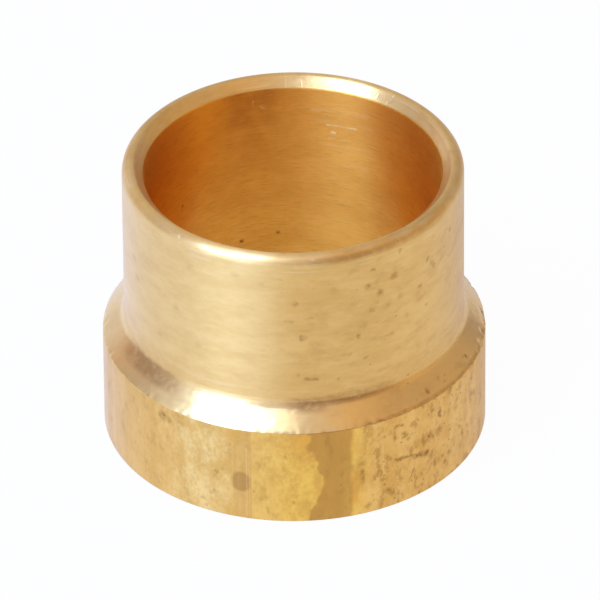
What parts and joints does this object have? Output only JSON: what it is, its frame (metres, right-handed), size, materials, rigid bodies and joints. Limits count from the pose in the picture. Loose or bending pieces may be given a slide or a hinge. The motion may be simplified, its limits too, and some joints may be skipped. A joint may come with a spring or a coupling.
{
  "type": "compression olive",
  "caption": "Turned brass compression olive: a thin sleeve with a thicker collar and a conical shoulder, sliding on a pipe and squeezed by a nut to seal the joint.",
  "frame": {"origin": "centre of the bore at the collar's foot face, which the olive stands on", "axes": "+Z along the bore axis, from the collar towards the sleeve's rim; X and Y are equivalent"},
  "size_m": [0.0195, 0.0194, 0.0153],
  "materials": {
    "brass": "turned satin brass, with the bar's drawn skin left on the collar"
  },
  "bodies": {
    "root": {"olive": "brass"}
  },
  "joints": []
}
